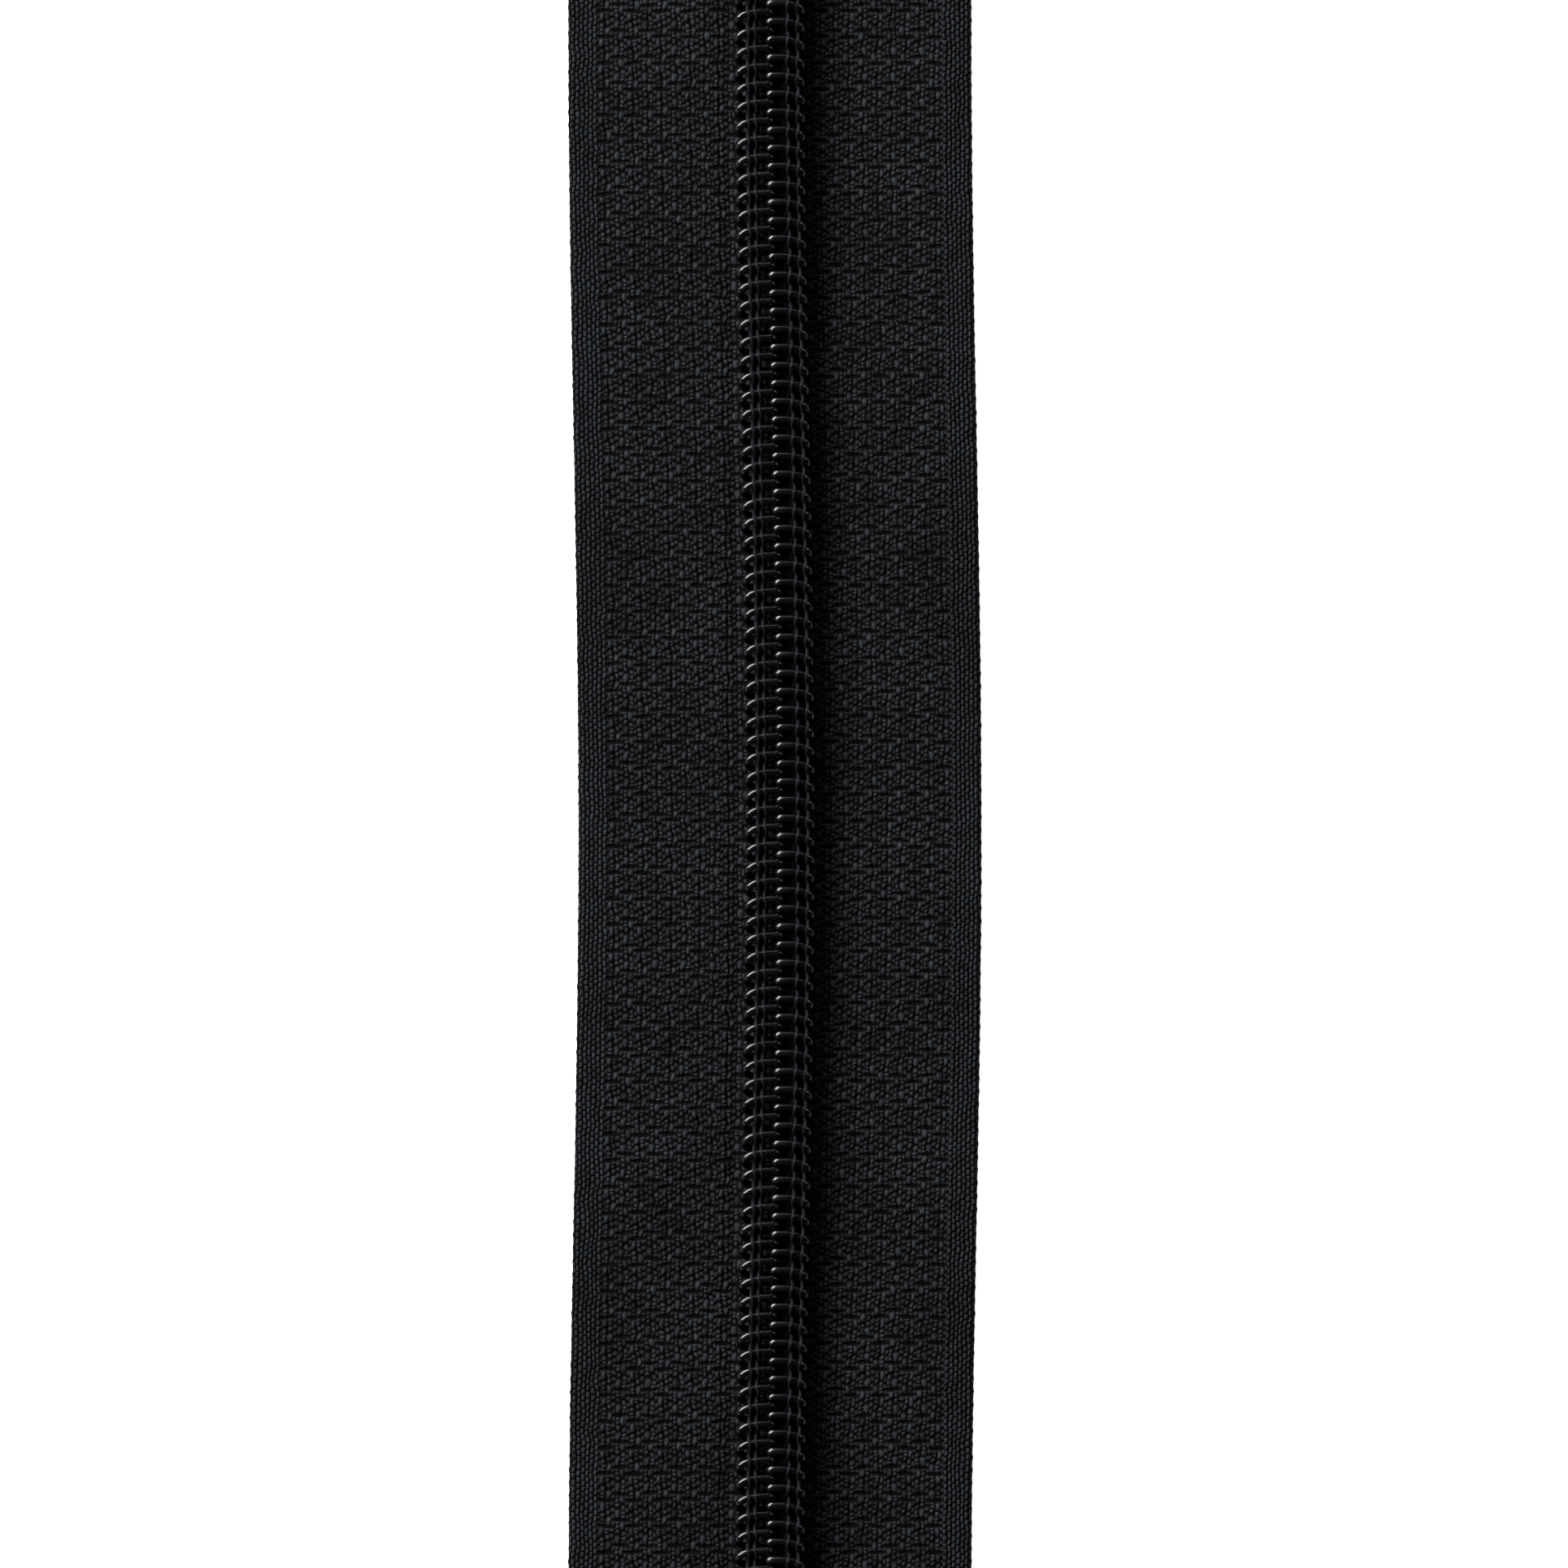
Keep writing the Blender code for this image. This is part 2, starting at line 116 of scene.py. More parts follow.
# Darkest and lightest colour of each material, linear
FABRIC_DARK, FABRIC_LIGHT = (0.0003, 0.0003, 0.0004, 1), (0.0180, 0.0204, 0.0234, 1)
NYLON_DARK, NYLON_LIGHT = (0.0008, 0.0008, 0.0010, 1), (0.0030, 0.0030, 0.0036, 1)
THREAD_DARK, THREAD_LIGHT = (0.0015, 0.0020, 0.0030, 1), (0.018, 0.021, 0.027, 1)
CORD_DARK, CORD_LIGHT = (0.0003, 0.0003, 0.0004, 1), (0.0014, 0.0014, 0.0018, 1)
# The same for each metal, with its metallic share, lowest roughness and specular level
METALS = {
    "slider_enamel": ((0.006, 0.006, 0.0067, 1), (0.014, 0.014, 0.016, 1), 0.0, 0.46, 0.14),
    "stop_enamel": ((0.007, 0.007, 0.008, 1), (0.018, 0.018, 0.020, 1), 0.0, 0.46, 0.16),
    "spring_steel": ((0.15, 0.15, 0.155, 1), (0.24, 0.24, 0.245, 1), 1.0, 0.36, 0.5),
}
# Each softbox: place, size, power in watts, and colour. All point at the middle of the chain.
SOFTBOXES = {
    "key_light": ((-0.63, 0.34, 0.42), (1.10, 0.36), 28.0, (1.0, 0.99, 0.98)),
    "top_light": ((0.02, 0.72, 0.34), (0.45, 0.12), 0.5, (0.90, 0.95, 1.0)),
    "fill_light": ((0.60, 0.25, 0.34), (0.20, 0.20), 0.7, (0.95, 0.97, 1.0)),
}
ROOM_COLOUR, ROOM_STRENGTH = (0.9, 0.95, 1.0, 1), 0.03


def spread(y):
    """How far the slider's wedge holds each side out from its closed place."""
    slope = math.tan(OPEN_ANGLE)
    straight = slope * (np.minimum(y, SPREAD_EASE_Y) - SPREAD_FROM_Y)
    eased = slope * SPREAD_EASE * (1 - np.exp(-np.maximum(0.0, y - SPREAD_EASE_Y) / SPREAD_EASE))
    return np.maximum(0.0, straight) + eased


def bow(y):
    """The closed chain's sideways bow."""
    share = np.clip((y - BOW_CENTRE_Y) / BOW_HALF, -1, 1)
    return BOW * np.cos(share * math.pi / 2) ** 2


def placed(points, side):
    """Points of the right side's straight chain, moved to their own side, spread and bowed."""
    points = np.asarray(points, float)
    x = side * (points[:, 0] + spread(points[:, 1])) + bow(points[:, 1])
    return np.column_stack([x, points[:, 1], points[:, 2]])


# ---------------------------------------------------------------- mesh helpers


def mesh_object(name, points, faces, smooth=True):
    mesh = bpy.data.meshes.new(name)
    mesh.from_pydata([tuple(p) for p in points], [], [tuple(f) for f in faces])
    mesh.update()
    shape = bmesh.new()
    shape.from_mesh(mesh)
    bmesh.ops.recalc_face_normals(shape, faces=shape.faces)
    shape.to_mesh(mesh)
    shape.free()
    if smooth:
        mesh.shade_smooth()
    obj = bpy.data.objects.new(name, mesh)
    bpy.context.scene.collection.objects.link(obj)
    return obj


def tube(path, radius, sides, first=0, squeeze=None):
    """Rings of points round a path, and the faces between them. squeeze scales each ring's width."""
    path = np.asarray(path, float)
    along = np.gradient(path, axis=0)
    along /= np.linalg.norm(along, axis=1)[:, None]
    up = np.cross(along, (0.0, 1.0, 0.0))
    weak = np.linalg.norm(up, axis=1) < 0.2
    up[weak] = np.cross(along[weak], (1.0, 0.0, 0.0))
    up /= np.linalg.norm(up, axis=1)[:, None]
    across = np.cross(along, up)
    turn = np.arange(sides) * 2 * math.pi / sides
    width = np.ones(len(path)) if squeeze is None else squeeze
    ring = up[:, None] * np.cos(turn)[None, :, None] * radius
    ring = ring + across[:, None] * np.sin(turn)[None, :, None] * radius * width[:, None, None]
    points = (path[:, None] + ring).reshape(-1, 3)
    faces = []
    for k in range(len(path) - 1):
        low, high = first + k * sides, first + (k + 1) * sides
        for s in range(sides):
            after = (s + 1) % sides
            faces.append((low + s, low + after, high + after, high + s))
    last = first + (len(path) - 1) * sides
    faces.append(tuple(range(first + sides - 1, first - 1, -1)))
    faces.append(tuple(range(last, last + sides)))
    return points, faces


def smooth_path(corners, steps):
    """A smooth curve through every corner, with a number of steps between each two."""
    corners = np.asarray(corners, float)
    ends = np.vstack([2 * corners[0] - corners[1], corners, 2 * corners[-1] - corners[-2]])
    a, b, c, d = (ends[i : len(ends) - 3 + i][:, None] for i in range(4))
    t = (np.arange(steps) / steps)[None, :, None]
    cubic = 2 * b + (c - a) * t + (2 * a - 5 * b + 4 * c - d) * t**2 + (3 * b - a - 3 * c + d) * t**3
    return np.vstack([(cubic / 2).reshape(-1, 3), corners[-1]])


def chain_piece(obj, body_nodes):
    """A piece of one side, left where it was built, with the CAD pieces it replaces hidden."""
    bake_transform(obj)
    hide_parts(*body_nodes)
    return obj


# ---------------------------------------------------------------- materials


class Nodes:
    """A short way to build a material's nodes."""

    def __init__(self, name):
        self.material = bpy.data.materials.new(name)
        self.material.use_nodes = True
        self.tree = self.material.node_tree
        self.shader = self.tree.nodes["Principled BSDF"]

    def add(self, kind, inputs=(), **settings):
        node = self.tree.nodes.new(kind)
        for key, value in settings.items():
            setattr(node, key, value)
        for key, value in dict(inputs).items():
            if isinstance(value, bpy.types.NodeSocket):
                self.tree.links.new(value, node.inputs[key])
            else:
                node.inputs[key].default_value = value
        return node

    def math(self, operation, a, b=0.0, clamp=False):
        node = self.add("ShaderNodeMath", {0: a, 1: b}, operation=operation, use_clamp=clamp)
        return node.outputs[0]

    def mix(self, factor, a, b):
        node = self.add("ShaderNodeMix", {0: factor, 6: a, 7: b}, data_type="RGBA")
        return node.outputs[2]

    def noise(self, vector, scale, detail=3.0, roughness=0.6):
        inputs = {"Vector": vector, "Scale": scale, "Detail": detail, "Roughness": roughness}
        return self.add("ShaderNodeTexNoise", inputs).outputs["Fac"]

    def stretched(self, vector, scale):
        return self.add("ShaderNodeMapping", {"Vector": vector, "Scale": scale}).outputs[0]

    def ramp(self, value, low, high, to_low=0.0, to_high=1.0):
        inputs = {0: value, 1: low, 2: high, 3: to_low, 4: to_high}
        return self.add("ShaderNodeMapRange", inputs).outputs[0]

    def bump(self, height, distance):
        inputs = {"Height": height, "Distance": distance, "Strength": 1.0}
        node = self.add("ShaderNodeBump", inputs)
        self.tree.links.new(node.outputs[0], self.shader.inputs["Normal"])

    def link(self, value, socket):
        self.tree.links.new(value, self.shader.inputs[socket])

    def set(self, **values):
        for key, value in values.items():
            self.shader.inputs[key.replace("_", " ")].default_value = value


# Each end of the repeat: its place across, its lean while it floats, its direction along the tape
# and the place where it dives, all as shares of the repeat.
ENDS = (
    (0.16, 0.050, 1, 0.84),
    (0.35, -0.014, -1, 0.84),
    (0.67, 0.050, -1, 0.59),
    (0.865, -0.020, 1, 0.59),
)
FIRST_PICK = 0.215
# The yarns on top of each end: place along from its dive, half sizes across and along, height,
# and whether it is weft.
FEATURES = (
    (0.120, 0.122, 0.072, 0.88, 1.0),
    (0.262, 0.100, 0.096, 0.90, 0.0),
    (0.450, 0.100, 0.108, 0.93, 0.0),
    (-0.225, 0.124, 0.200, 0.98, 0.0),
)
# Each pick's show of weft in the two gaps between pairs of ends.
GAPS = (0.510, 1.0125)
GAP_SHOW = (0.100, 0.112, 0.84)
FLOOR_LEVEL = 0.18
# How pointed the yarns are in the material: 0.5 is a half circle across each one.
ROUNDNESS, SELVAGE_ROUNDNESS = 0.66, 0.4
# The dive of a pair of ends: half sizes across and along.
DIVE = (0.212, 0.048)
# How many places along and across have levels of their own before they come round again:
# repeats of the pattern, and picks and ends of the selvage
LEVEL_TURNS, SELVAGE_TURNS = (97, 9), (389, 8)


def weave_nodes(n, across, along):
    """Height of the woven surface, 0 to 1, from flat places in millimetres."""
    u = n.math("DIVIDE", across, REPEAT_X / MM)
    v = n.math("DIVIDE", along, REPEAT_Y / MM)

    def round_over(value, centre, half):
        near = n.math("FRACT", n.math("ADD", value, 2.5 - centre))
        near = n.math("DIVIDE", n.math("SUBTRACT", near, 0.5), half)
        return n.math("SUBTRACT", 1.0, n.math("MULTIPLY", near, near), clamp=True)

    half_u, half_v, top = GAP_SHOW
    picks = round_over(n.math("MULTIPLY", v, 4.0), 4 * FIRST_PICK, 4 * half_v)
    height = FLOOR_LEVEL
    for gap in GAPS:
        both = n.math("MULTIPLY", round_over(u, gap, half_u), picks)
        height = n.math("MAXIMUM", height, n.math("MULTIPLY", n.math("POWER", both, ROUNDNESS), top))
    for centre, _, way, dip in ENDS:
        for shift, half_u, half_v, top, _ in FEATURES:
            along_end = round_over(v, dip + way * shift, half_v)
            both = n.math("MULTIPLY", round_over(u, centre, half_u), along_end)
            height = n.math("MAXIMUM", height, n.math("MULTIPLY", n.math("POWER", both, ROUNDNESS), top))
    for first, second in (ENDS[:2], ENDS[2:]):
        both = n.math(
            "MULTIPLY",
            round_over(u, (first[0] + second[0]) / 2, DIVE[0]),
            round_over(v, first[3], DIVE[1]),
        )
        height = n.math("MULTIPLY", height, n.math("SUBTRACT", 1.0, n.math("SQRT", both)))

    end = n.math("DIVIDE", n.math("SUBTRACT", across, SELVAGE_X / MM), SELVAGE_END / MM)
    ribs = n.math("ABSOLUTE", n.math("SINE", n.math("MULTIPLY", end, math.pi)))
    turn = n.math("ADD", n.math("DIVIDE", along, PICK / MM), n.math("MULTIPLY", n.math("FLOOR", end), 0.5))
    bricks = n.math("ABSOLUTE", n.math("SINE", n.math("MULTIPLY", turn, math.pi)))
    plain = n.math("POWER", n.math("MULTIPLY", ribs, bricks), SELVAGE_ROUNDNESS)
    share = n.math("GREATER_THAN", across, SELVAGE_X / MM)
    return n.add("ShaderNodeMix", {0: share, 2: height, 3: plain}, data_type="FLOAT").outputs[0]


def fabric_material():
    """Black woven polyester: uneven grey yarns with fine fibres in the bump, painted glints in the colour
    along the fibres and in small specks, and painted shade in the gaps between the yarns.
    """
    n = Nodes("woven_tape")
    place = n.add("ShaderNodeUVMap", uv_map="flat").outputs[0]
    weft = n.add("ShaderNodeAttribute", attribute_name="weft").outputs["Fac"]
    tone = n.add("ShaderNodeAttribute", attribute_name="tone").outputs["Fac"]
    jitter = n.add("ShaderNodeTexNoise", {"Vector": place, "Scale": 1.1, "Detail": 1.0}).outputs["Color"]
    jitter = n.add("ShaderNodeVectorMath", {0: jitter, 1: (0.5, 0.5, 0.5)}, operation="SUBTRACT").outputs[0]
    jitter = n.add("ShaderNodeVectorMath", {0: jitter, 1: (0.26, 0.26, 0.0)}, operation="MULTIPLY").outputs[0]
    moved = n.add("ShaderNodeVectorMath", {0: place, 1: jitter}, operation="ADD").outputs[0]
    split = n.add("ShaderNodeSeparateXYZ", {0: moved})
    relief = weave_nodes(n, split.outputs[0], split.outputs[1])
    # Noise streaked along and across the yarns: fibres in the bump, and painted glints along each yarn in the
    # colour.
    along = n.noise(n.stretched(place, (13.0, 4.0, 1.0)), 1.0, 2.0, 0.65)
    across = n.noise(n.stretched(place, (4.0, 13.0, 1.0)), 1.0, 2.0, 0.65)
    fibres = n.add("ShaderNodeMix", {0: weft, 2: along, 3: across}, data_type="FLOAT").outputs[0]
    # Small specks of painted glints in the colour.
    painted_glints = n.noise(place, 7.0, 1.0, 0.7)
    patches = n.noise(place, 0.09, 2.0, 0.5)
    n.bump(n.math("ADD", relief, n.math("MULTIPLY", fibres, 0.35)), 0.19 * MM)

    # The colour darkens where the weave is low: painted shade in the gaps between the yarns. The fibre and
    # speck noises lighten it with painted glints.
    shade = n.math("MULTIPLY", n.ramp(relief, 0.36, 0.92), n.ramp(fibres, 0.3, 0.7, 0.45, 1.5))
    shade = n.math("MULTIPLY", shade, tone)
    # Painted glints in small specks.
    shade = n.math("MULTIPLY", shade, n.ramp(painted_glints, 0.35, 0.65, 0.5, 1.4))
    shade = n.math("MULTIPLY", shade, n.ramp(patches, 0.3, 0.7, 0.72, 1.25))
    n.link(n.mix(shade, FABRIC_DARK, FABRIC_LIGHT), "Base Color")
    n.link(n.ramp(shade, 0.0, 0.8, 0.80, 0.50), "Roughness")
    n.set(Specular_IOR_Level=0.05)
    return n.material


def nylon_material():
    """Black glossy monofilament with faint drawing lines and uneven gloss."""
    n = Nodes("nylon_monofilament")
    place = n.add("ShaderNodeTexCoord").outputs["Object"]
    grain = n.noise(place, 2600.0, 3.0)
    broad = n.noise(place, 420.0, 2.0)
    n.link(n.mix(broad, NYLON_DARK, NYLON_LIGHT), "Base Color")
    n.link(n.ramp(broad, 0.3, 0.7, 0.17, 0.27), "Roughness")
    n.bump(grain, 0.006 * MM)
    n.set(Specular_IOR_Level=0.42)
    return n.material


def thread_material():
    """Dark blue-grey twisted sewing thread."""
    n = Nodes("sewing_thread")
    place = n.add("ShaderNodeTexCoord").outputs["Object"]
    fibres = n.noise(n.stretched(place, (9000.0, 3000.0, 9000.0)), 1.0, 3.0)
    n.link(n.mix(fibres, THREAD_DARK, THREAD_LIGHT), "Base Color")
    n.link(n.ramp(fibres, 0.3, 0.7, 0.62, 0.42), "Roughness")
    n.bump(fibres, 0.03 * MM)
    n.set(Specular_IOR_Level=0.15)
    return n.material


def cord_material():
    """The soft filler cord, darker than the threads."""
    n = Nodes("filler_cord")
    place = n.add("ShaderNodeTexCoord").outputs["Object"]
    fibres = n.noise(n.stretched(place, (7000.0, 2500.0, 7000.0)), 1.0, 3.0)
    n.link(n.mix(fibres, CORD_DARK, CORD_LIGHT), "Base Color")
    n.bump(fibres, 0.03 * MM)
    n.set(Roughness=0.95, Specular_IOR_Level=0.05)
    return n.material


def metal_material(name, dark, light, metal, rough, shine):
    """Enamelled or bare metal, with a fine uneven skin and small dull patches."""
    n = Nodes(name)
    place = n.add("ShaderNodeTexCoord").outputs["Object"]
    skin = n.noise(place, 1500.0, 3.0)
    broad = n.noise(place, 260.0, 4.0)
    n.link(n.mix(broad, dark, light), "Base Color")
    n.link(n.ramp(broad, 0.3, 0.7, rough, rough + 0.14), "Roughness")
    n.bump(skin, 0.012 * MM)
    n.set(Metallic=metal, Specular_IOR_Level=shine)
    return n.material


# ---------------------------------------------------------------- tape


def cap(share):
    """A half circle over each share from -1 to 1."""
    return np.sqrt(np.maximum(0.0, 1 - share**2))


def feature(u, v, centre_u, centre_v, half_u, half_v, levels):
    """One feature of every repeat, each at a level of its own."""
    turn_u, turn_v = np.round(u - centre_u), np.round(v - centre_v)
    level = levels[turn_v.astype(int) % levels.shape[0], turn_u.astype(int) % levels.shape[1]]
    du, dv = u - centre_u - turn_u, v - centre_v - turn_v
    return cap(du / half_u) * cap(dv / half_v), level


def body_weave(u, v, rng):
    """Height, weft share and tone of the patterned weave at shares of its repeat."""
    half_u, half_v, top = GAP_SHOW
    picks = cap((((v - FIRST_PICK) * 4 + 0.5) % 1.0 - 0.5) / (4 * half_v))
    height = np.full_like(u, FLOOR_LEVEL)
    for gap in GAPS:
        height = np.maximum(height, top * picks * cap(((u - gap + 0.5) % 1.0 - 0.5) / half_u))
    weft, tone = np.ones_like(u), np.full_like(u, 0.8)
    for centre, _, way, dip in ENDS:
        for shift, half_u, half_v, top, is_weft in FEATURES:
            levels = rng.uniform(0.40, 1.60, LEVEL_TURNS)
            shape, level = feature(u, v, centre, dip + way * shift, half_u, half_v, levels)
            raised = shape * top * (0.8 + 0.2 * level)
            wins = raised > height
            height = np.where(wins, raised, height)
            weft = np.where(wins, is_weft, weft)
            tone = np.where(wins, level, tone)
    for first, second in (ENDS[:2], ENDS[2:]):
        middle = (first[0] + second[0]) / 2
        shape, _ = feature(u, v, middle, first[3], *DIVE, np.ones((1, 1)))
        height = height * (1 - shape)
    return height, weft, tone


def selvage_weave(across, along, rng):
    """The same for the plain weave of the outer edge, at places in metres."""
    end = (across - SELVAGE_X) / SELVAGE_END
    number = np.floor(end)
    turn = along / PICK + 0.5 * number
    height = np.abs(np.sin(math.pi * end) * np.sin(math.pi * turn)) ** SELVAGE_ROUNDNESS
    level = rng.uniform(0.5, 1.4, SELVAGE_TURNS)
    rows, columns = SELVAGE_TURNS
    tone = level[np.floor(turn).astype(int) % rows, number.astype(int) % columns]
    return height, number % 2, tone


def tape_columns():
    """Places across the tape that follow its yarns: crests, shoulders and the gaps between them."""
    places, shoulder = {0.0}, 0.055
    for index, (centre, _, _, _) in enumerate(ENDS):
        after = ENDS[(index + 1) % 4][0] + (index == 3)
        places |= {centre - shoulder, centre, centre + shoulder, (centre + after) / 2}
    places = np.array(sorted(place % 1.0 for place in places))
    repeats = int(SELVAGE_X / REPEAT_X) + 1
    every = np.concatenate([(places + turn) * REPEAT_X for turn in range(repeats)])
    body = every[(every > COIL_REACH) & (every < SELVAGE_X - 0.1 * MM)]
    hidden = np.linspace(TAPE_INNER, COIL_REACH, 10, endpoint=False)
    edge = np.arange(SELVAGE_X, TAPE_OUTER - 0.05 * MM, SELVAGE_END / 2)
    columns = np.concatenate([hidden, body, edge, [TAPE_OUTER]])
    return columns if len(columns) % 2 else np.delete(columns, 5)


def wander_field(x, y, side):
    """How far the yarns wander from a perfect grid, across and along."""
    noise.seed_set(WANDER_SEED)
    found = np.zeros(x.shape + (2,))
    slice_of_noise = 40.0 + 17.0 * side
    for index in np.ndindex(x.shape):
        spot = Vector((x[index] / WANDER_LENGTHS[0], y[index] / WANDER_LENGTHS[1], slice_of_noise))
        step = noise.noise_vector(spot)
        found[index] = step[0], step[1]
    return found


def lean_field(u, v):
    """How far each end leans sideways as it floats and dives, in shares of the repeat."""
    total = np.zeros_like(u)
    middle_of_float, reach = 0.225, 0.16
    for centre, lean, way, dip in ENDS:
        near = (u - centre + 0.5) % 1.0 - 0.5
        swing = np.cos(2 * math.pi * (v - dip + way * middle_of_float))
        total += lean * swing * np.maximum(0, 1 - np.abs(near) / reach)
    return total


def inner_edge(x, y):
    """The tapes all but meet under the closed coils, and stand apart in the slider and at their tails."""
    in_slider = np.clip((y - EDGE_OPENS_Y) / EDGE_OPENS_OVER, 0, 1)
    in_tail = np.clip((TAIL_Y - y) / TAIL_OPENS_OVER, 0, 1)
    edge = CLOSED_EDGE + (TAPE_INNER - CLOSED_EDGE) * in_slider + TAIL_GAP * in_tail
    reach = 1.0 * MM
    share = np.clip((reach - x) / (reach - TAPE_INNER), 0, 1)
    return x - share * (TAPE_INNER - edge)


def tape_ripple(x, y, side):
    """The slow unevenness of a tape that lies flat, fading out towards the coil."""
    lengthwise = np.sin(y / (9.0 * MM) + 2.0 * side)
    crosswise = np.sin(x / (3.2 * MM) + y / (21.0 * MM))
    return RIPPLE * lengthwise * crosswise * np.clip((x - COIL_REACH) / (4 * MM), 0, 1)


def make_tape(name, side, material):
    """One tape, woven on both faces, its outer edge scalloped by the turning picks."""
    rng = np.random.default_rng(11 if side < 0 else 12)
    start = -TAPE_END_Y + (FIRST_PICK - 0.125) * REPEAT_Y % (PICK / 2)
    rows = np.arange(start, TAPE_END_Y, PICK / 2)
    rows = np.concatenate([[-TAPE_END_Y], rows[1:-1], [TAPE_END_Y]])
    rows = rows if len(rows) % 2 else np.delete(rows, -2)
    x, y = np.meshgrid(tape_columns(), rows)
    u, v = x / REPEAT_X, (TAPE_END_Y - y) / REPEAT_Y
    height, weft, tone = body_weave(u, v, rng)
    plain = np.clip((x - SELVAGE_X) / (0.2 * MM) + 0.5, 0, 1)
    for body, edge in zip((height, weft, tone), selvage_weave(x, TAPE_END_Y - y, rng)):
        body += (edge - body) * plain
    wander = wander_field(x, y, side)
    from_inner = np.clip((x - TAPE_INNER) / MM, 0, 1)
    from_ends = np.clip((TAPE_END_Y - np.abs(y)) / MM, 0, 1)
    lean = lean_field(u, v) * (1 - plain)
    across = inner_edge(x + (lean * REPEAT_X + wander[..., 0] * WANDER[0]) * from_inner, y)
    along = y + wander[..., 1] * WANDER[1] * from_ends
    loops = 0.5 + 0.5 * np.cos(math.pi * (TAPE_END_Y - y[:, -1]) / PICK)
    across[:, -1] = TAPE_OUTER + SCALLOP * (loops - 0.3) * (0.7 + 0.6 * wander[:, -1, 0])
    ripple = tape_ripple(x, y, side)
    valley = VALLEY_DEPTH * np.exp(-(((x - VALLEY_X) / VALLEY_HALF) ** 2))
    relief = RELIEF * (height - MEAN_HEIGHT)
    up = TAPE_TOP_MEAN + relief + ripple - valley
    down = TAPE_BOTTOM_MEAN - BACK_SHARE * relief + ripple - 0.5 * valley
    up[:, -1] -= EDGE_THINNING
    down[:, -1] += EDGE_THINNING
    obj = two_faced_sheet(f"woven_tape_{name}", across, along, up, down, side)
    for key, values in (("weft", weft), ("tone", tone)):
        layer = obj.data.attributes.new(key, "FLOAT", "POINT")
        both = np.concatenate([values.ravel(), values[::2, ::2].ravel()])
        layer.data.foreach_set("value", both.astype(np.float32))
    place_map(obj, x, y)
    obj.data.materials.append(material)
    return chain_piece(obj, [f"tape_{name}", f"tape_tail_{name}"])


def two_faced_sheet(name, x, y, up, down, side):
    """A closed sheet from a grid of points; its lower face takes every second row and column."""
    top = placed(np.column_stack([x.ravel(), y.ravel(), up.ravel()]), side)
    half = [grid[::2, ::2].ravel() for grid in (x, y, down)]
    bottom = placed(np.column_stack(half), side)
    upper = np.arange(x.size).reshape(x.shape)
    lower = x.size + np.arange(len(bottom)).reshape(x[::2, ::2].shape)
    faces = [tuple(face) for face in grid_faces(upper)]
    faces += [tuple(face[::-1]) for face in grid_faces(lower)]
    for fine, coarse in zip(rim(upper), rim(lower)):
        for k in range(len(coarse) - 1):
            faces.append((*fine[2 * k : 2 * k + 3][::-1], coarse[k], coarse[k + 1]))
    return mesh_object(name, np.vstack([top, bottom]), faces)


def grid_faces(index):
    return np.stack([index[:-1, :-1], index[:-1, 1:], index[1:, 1:], index[1:, :-1]], -1).reshape(-1, 4)


def rim(index):
    """The four edges of a grid, each in the order that goes round it."""
    return index[0], index[:, -1], index[-1, ::-1], index[::-1, 0]


def place_map(obj, x, y):
    """A map of the flat cloth in millimetres, for the fibres in the material."""
    flat = np.column_stack([x.ravel(), y.ravel()])
    half = np.column_stack([x[::2, ::2].ravel(), y[::2, ::2].ravel()])
    flat = np.vstack([flat, half]) / MM
    layer = obj.data.uv_layers.new(name="flat")
    corner = np.zeros(len(obj.data.loops), np.int32)
    obj.data.loops.foreach_get("vertex_index", corner)
    layer.data.foreach_set("uv", flat[corner].astype(np.float32).ravel())


# ---------------------------------------------------------------- coil and threads


def coil_corners(first_y, turns):
    """Corners of the wire: up the head, out on the upper leg, round the outer loop, and back below."""
    low, high = COIL_BOTTOM + WIRE_RADIUS, COIL_TOP - WIRE_RADIUS
    middle = (low + high) / 2
    head = -HEAD_REACH + WIRE_RADIUS
    loop = COIL_REACH - WIRE_RADIUS
    turn = [
        (0.12, 0.00, low),
        (-0.02, -0.05, middle - 0.32 * MM),
        (-0.02, -0.03, middle + 0.32 * MM),
        (0.14, 0.00, high - 0.10 * MM),
        (0.45, 0.00, high - 0.02 * MM),
        (0.85, 0.00, high),
        (1.30, -0.04, high - 0.05 * MM),
        (1.90, -0.16, high - 0.06 * MM),
        (2.35, -0.36, high - 0.20 * MM),
        (2.59, -0.70, middle),
        (2.38, -1.00, low + 0.18 * MM),
        (1.90, -1.20, low),
        (1.00, -1.38, low),
    ]
    head_ends_at = 0.5
    corners = []
    for k in range(turns):
        for x, y, z in turn:
            x = head + (x + 0.02) * MM if x < head_ends_at else min(x * MM, loop)
            corners.append((x, first_y - k * PITCH + y * MM, z))
    return corners


def half_pitch_left(side):
    """The left coil stands half a pitch lower, so that its heads fit between the right ones."""
    return PITCH / 2 if side < 0 else 0.0


def make_coil(name, side, material):
    """One wire through all its turns, pressed a little wider at its heads."""
    steps, sides, head_half, widening = 3, 10, 0.30 * MM, 0.12
    turns = int((COIL_HIGH_Y - COIL_LOW_Y) / PITCH)
    path = smooth_path(coil_corners(COIL_HIGH_Y - half_pitch_left(side), turns), steps)
    head = np.exp(-((path[:, 0] / head_half) ** 2))
    points, faces = tube(placed(path, side), WIRE_RADIUS, sides, squeeze=1 + widening * head)
    obj = mesh_object(f"coil_wire_{name}", points, faces)
    obj.data.materials.append(material)
    return chain_piece(obj, [f"coil_{name}"])


